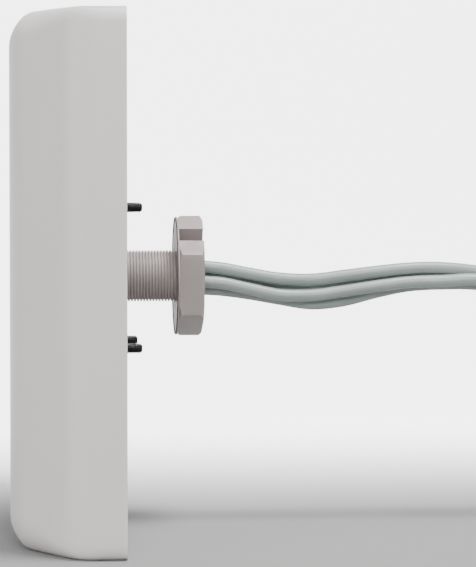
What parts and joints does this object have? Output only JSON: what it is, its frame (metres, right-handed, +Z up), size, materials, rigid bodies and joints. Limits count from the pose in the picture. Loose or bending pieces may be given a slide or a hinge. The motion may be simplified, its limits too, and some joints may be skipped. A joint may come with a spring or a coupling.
{
  "type": "panel antenna",
  "caption": "Flat square panel antenna with a bevelled radome, a hollow threaded stem with a slotted hex nut, and coaxial leads that end in threaded plugs.",
  "frame": {"origin": "middle of the footprint of the panel and its stem, on the surface that the panel's bottom edge stands on", "axes": "+X out of the back along the stem, +Z up, +Y across the panel"},
  "size_m": [0.3539, 0.243, 0.243],
  "materials": {
    "radome_plastic": "light warm grey, fine moulded texture",
    "back_plastic": "light warm grey, moulded",
    "fitting_plastic": "warm grey, machined-look moulding",
    "lead_jacket": "smooth grey-green jacket",
    "rubber_seal": "black",
    "tie_fabric": "black woven strap",
    "black_steel": "black coated thread",
    "steel": "zinc plated",
    "aluminium": "sheet, satin",
    "copper": "copper and gold-plated brass",
    "nickel": "nickel plate",
    "board": "green circuit board",
    "white_plastic": "white low-loss plastic"
  },
  "bodies": {
    "panel": {"radome": "radome_plastic", "base_plate": "back_plastic", "perimeter_gasket": "rubber_seal", "cover_screws": "steel", "mounting_studs": "black_steel", "reflector": "aluminium", "reflector_posts": "aluminium", "reflector_screws": "steel", "feed_board": "board", "feed_pins": "copper", "patch_1": "copper", "patch_2": "copper", "patch_3": "copper", "patch_4": "copper", "patch_spacers": "white_plastic", "coax_launches": "nickel", "stem": "fitting_plastic", "stem_o_ring": "rubber_seal", "stem_screws": "steel", "lead_grommet": "rubber_seal", "inner_lead_1": "lead_jacket", "inner_lead_2": "lead_jacket", "inner_lead_3": "lead_jacket", "inner_lead_4": "lead_jacket", "lead_1": "lead_jacket", "lead_2": "lead_jacket", "lead_3": "lead_jacket", "lead_4": "lead_jacket", "lead_tail_1": "lead_jacket", "lead_tail_2": "lead_jacket", "lead_tail_3": "lead_jacket", "lead_tail_4": "lead_jacket", "lead_coil": "lead_jacket", "coil_ties": "tie_fabric", "crimp_sleeve_1": "nickel", "crimp_sleeve_2": "nickel", "crimp_sleeve_3": "nickel", "crimp_sleeve_4": "nickel", "plug_body_1": "nickel", "plug_body_2": "nickel", "plug_body_3": "nickel", "plug_body_4": "nickel", "plug_insulator_1": "white_plastic", "plug_insulator_2": "white_plastic", "plug_insulator_3": "white_plastic", "plug_insulator_4": "white_plastic", "contact_pin_1": "copper", "contact_pin_2": "copper", "contact_pin_3": "copper", "contact_pin_4": "copper"},
    "washer": {"slip_washer": "fitting_plastic"},
    "nut": {"jam_nut": "fitting_plastic"},
    "coupling_1": {"coupling_nut_1": "nickel"},
    "coupling_2": {"coupling_nut_2": "nickel"},
    "coupling_3": {"coupling_nut_3": "nickel"},
    "coupling_4": {"coupling_nut_4": "nickel"}
  },
  "joints": [
    {"name": "nut_travel", "type": "slide", "parent": "panel", "child": "washer", "axis": [1, 0, 0], "range_m": [-0.0266, 0]},
    {"name": "nut_spin", "type": "hinge", "parent": "washer", "child": "nut", "pos_m": [0.04, 0, 0.1215], "axis": [1, 0, 0], "range_deg": [-6384, 0]},
    {"name": "coupling_spin_1", "type": "hinge", "parent": "panel", "child": "coupling_1", "pos_m": [0.225, -0.0586, 0.0076], "axis": [0, -1, 0], "continuous": true},
    {"name": "coupling_spin_2", "type": "hinge", "parent": "panel", "child": "coupling_2", "pos_m": [0.208, -0.0586, 0.0076], "axis": [0, -1, 0], "continuous": true},
    {"name": "coupling_spin_3", "type": "hinge", "parent": "panel", "child": "coupling_3", "pos_m": [0.259, -0.0946, 0.0076], "axis": [0, -1, 0], "continuous": true},
    {"name": "coupling_spin_4", "type": "hinge", "parent": "panel", "child": "coupling_4", "pos_m": [0.242, -0.0946, 0.0076], "axis": [0, -1, 0], "continuous": true}
  ],
  "couplings": [
    {"joint": "nut_spin", "follows": "nut_travel", "rad_per_m": 4188.8}
  ]
}
